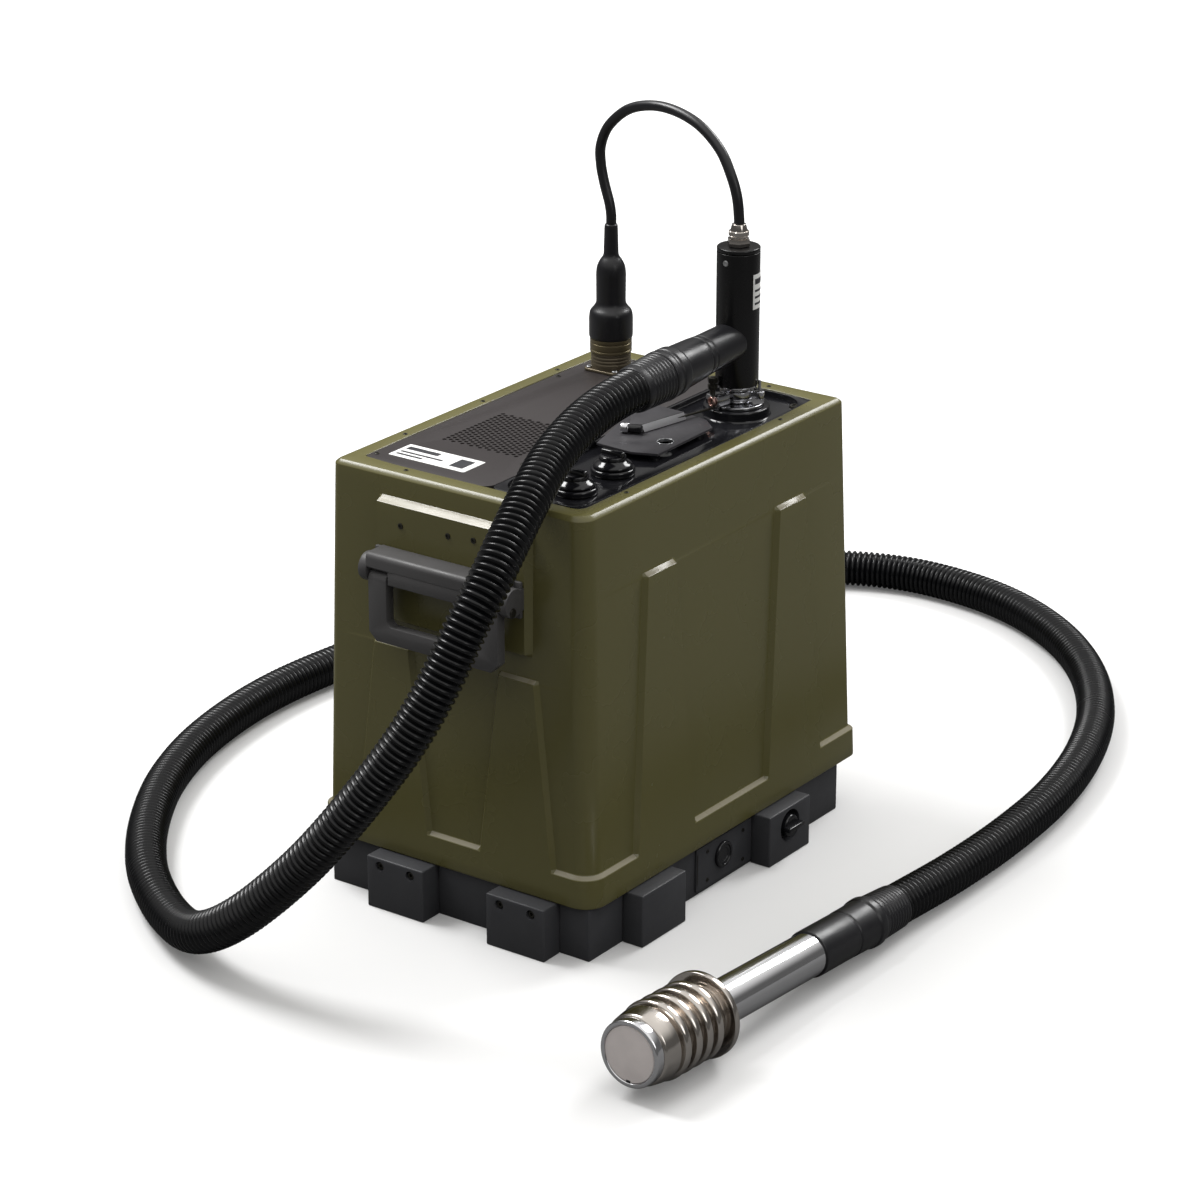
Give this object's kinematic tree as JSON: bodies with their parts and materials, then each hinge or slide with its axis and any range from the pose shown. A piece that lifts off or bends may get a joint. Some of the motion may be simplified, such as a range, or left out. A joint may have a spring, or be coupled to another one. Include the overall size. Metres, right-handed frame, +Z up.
{
  "type": "mass spectrometer",
  "caption": "Transportable mass spectrometer in a ribbed olive case on a dark base, with a capped inlet column, a corrugated sampling hose and a ribbed membrane probe on the floor.",
  "frame": {"origin": "on the base's underside at floor level, under the middle of the hood's top opening", "axes": "+Z up; -Y towards the carrying handle at the front; +X towards the long side with the service plate"},
  "size_m": [0.8148, 1.1693, 0.6698],
  "materials": {
    "olive_paint": "satin olive paint, fine grain",
    "panel_grey": "satin warm grey",
    "gloss_black": "gloss",
    "base_anodised": "dark anodised, satin",
    "handle_charcoal": "matte",
    "black_rubber": "satin",
    "polished_steel": "polished",
    "nickel": "warm polished nickel",
    "stainless_steel": "brushed",
    "olive_metal": "olive plated",
    "copper_bush": "polished copper",
    "membrane": "matte membrane",
    "ceramic": "white ceramic",
    "circuit_board": "green board",
    "module_grey": "satin grey"
  },
  "bodies": {
    "case": {"hood": "olive_paint", "base_tray": "base_anodised", "front_foot_left": "base_anodised", "front_foot_right": "base_anodised", "rear_foot_left": "base_anodised", "rear_foot_right": "base_anodised", "left_foot_front": "base_anodised", "left_foot_rear": "base_anodised", "right_foot_front": "base_anodised", "right_foot_rear": "base_anodised", "top_panel": "panel_grey", "well_tray": "gloss_black", "inlet_flange": "polished_steel", "flange_clamp": "polished_steel", "clamp_bush": "copper_bush", "column_flange": "polished_steel", "inlet_column": "gloss_black", "column_cap": "gloss_black", "cable_gland": "polished_steel", "lock_plate": "panel_grey", "rod_guide": "panel_grey", "stop_stud": "polished_steel", "port_socket_1": "gloss_black", "port_socket_2": "gloss_black", "receptacle": "olive_metal", "connector_boot": "black_rubber", "arch_cable": "black_rubber", "column_cuff": "black_rubber", "sampling_hose": "black_rubber", "probe_cuff": "black_rubber", "probe_tube": "polished_steel", "probe_collar": "nickel", "probe_head": "nickel", "probe_rim": "polished_steel", "membrane_disc": "membrane", "front_handle_bracket": "handle_charcoal", "rear_handle_bracket": "handle_charcoal", "front_handle_pin": "stainless_steel", "rear_handle_pin": "stainless_steel", "service_plate": "base_anodised", "service_plug": "gloss_black", "inner_frame": "stainless_steel", "vacuum_chamber": "stainless_steel", "chamber_cover": "stainless_steel", "quadrupole": "ceramic", "ion_source": "stainless_steel", "getter_pump": "stainless_steel", "power_supply": "module_grey", "rf_generator": "module_grey", "control_board": "circuit_board", "fan_frame": "black_rubber"},
    "front_bail": {"front_handle_bail": "handle_charcoal"},
    "rear_bail": {"rear_handle_bail": "handle_charcoal"},
    "connector_ring": {"coupling_ring": "olive_metal"},
    "clamp_lock": {"lock_rod": "stainless_steel"},
    "port_cap_front": {"port_cap_1": "gloss_black"},
    "port_cap_back": {"port_cap_2": "gloss_black"},
    "power_inlet_cap": {"power_cap": "gloss_black"},
    "fan": {"fan_rotor": "black_rubber"}
  },
  "joints": [
    {"name": "front_bail_hinge", "type": "hinge", "parent": "case", "child": "front_bail", "pos_m": [0, -0.2265, 0.318], "axis": [-1, 0, 0], "range_deg": [0, 90]},
    {"name": "rear_bail_hinge", "type": "hinge", "parent": "case", "child": "rear_bail", "pos_m": [0, 0.2265, 0.318], "axis": [1, 0, 0], "range_deg": [0, 90]},
    {"name": "coupling_ring_turn", "type": "hinge", "parent": "case", "child": "connector_ring", "pos_m": [-0.086, 0.147, 0.43], "axis": [0, 0, 1], "range_deg": [0, 120]},
    {"name": "lock_rod_slide", "type": "slide", "parent": "case", "child": "clamp_lock", "axis": [-0.2243, -0.9745, 0], "range_m": [0, 0.012]},
    {"name": "port_cap_1_turn", "type": "hinge", "parent": "case", "child": "port_cap_front", "pos_m": [0.079, -0.1355, 0.413], "axis": [0, 0, 1], "range_deg": [0, 90]},
    {"name": "port_cap_2_turn", "type": "hinge", "parent": "case", "child": "port_cap_back", "pos_m": [0.0765, -0.077, 0.413], "axis": [0, 0, 1], "range_deg": [0, 90]},
    {"name": "power_cap_turn", "type": "hinge", "parent": "case", "child": "power_inlet_cap", "pos_m": [0.165, 0.0795, 0.031], "axis": [1, 0, 0], "range_deg": [0, 90]},
    {"name": "fan_spin", "type": "hinge", "parent": "case", "child": "fan", "pos_m": [-0.048, -0.058, 0.385], "axis": [0, 0, 1], "continuous": true}
  ]
}
